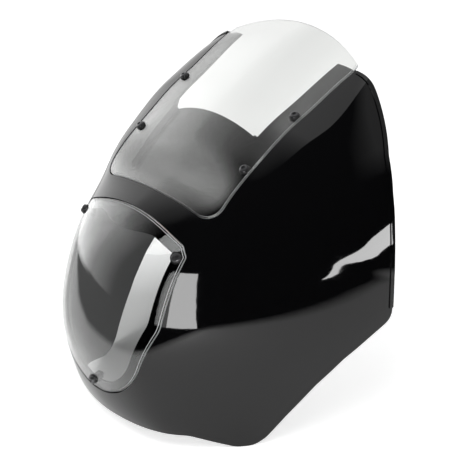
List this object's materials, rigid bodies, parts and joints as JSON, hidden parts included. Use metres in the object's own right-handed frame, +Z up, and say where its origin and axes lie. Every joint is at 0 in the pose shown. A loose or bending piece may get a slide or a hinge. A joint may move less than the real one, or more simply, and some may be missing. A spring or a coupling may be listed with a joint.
{
  "type": "motorcycle quarter fairing",
  "caption": "Small front fairing shell for a motorcycle headlight, with a screwed clear windscreen above and a screwed clear lens over the lamp opening.",
  "frame": {"origin": "on the centre plane, in the plane of the rear edge, at the height of the lens's centre", "axes": "+Z up, -Y forward, +X to the right of a viewer who looks at the front from outside along +Y"},
  "size_m": [0.419, 0.3355, 0.4374],
  "materials": {
    "gloss_black": "deep gloss black moulded plastic, smooth inside face",
    "clear_screen": "clear moulded acrylic sheet",
    "clear_lens": "clear moulded polycarbonate",
    "screw_black": "black coated steel",
    "washer_nylon": "black nylon",
    "rubber": "matt black rubber",
    "brass": "plain brass"
  },
  "bodies": {
    "root": {"fairing_shell": "gloss_black", "windscreen": "clear_screen", "headlight_lens": "clear_lens", "windscreen_screws": "screw_black", "windscreen_washers": "washer_nylon", "windscreen_well_nuts": "rubber", "windscreen_nut_inserts": "brass", "lens_screws": "screw_black", "lens_washers": "washer_nylon", "lens_well_nuts": "rubber", "lens_nut_inserts": "brass"}
  },
  "joints": []
}
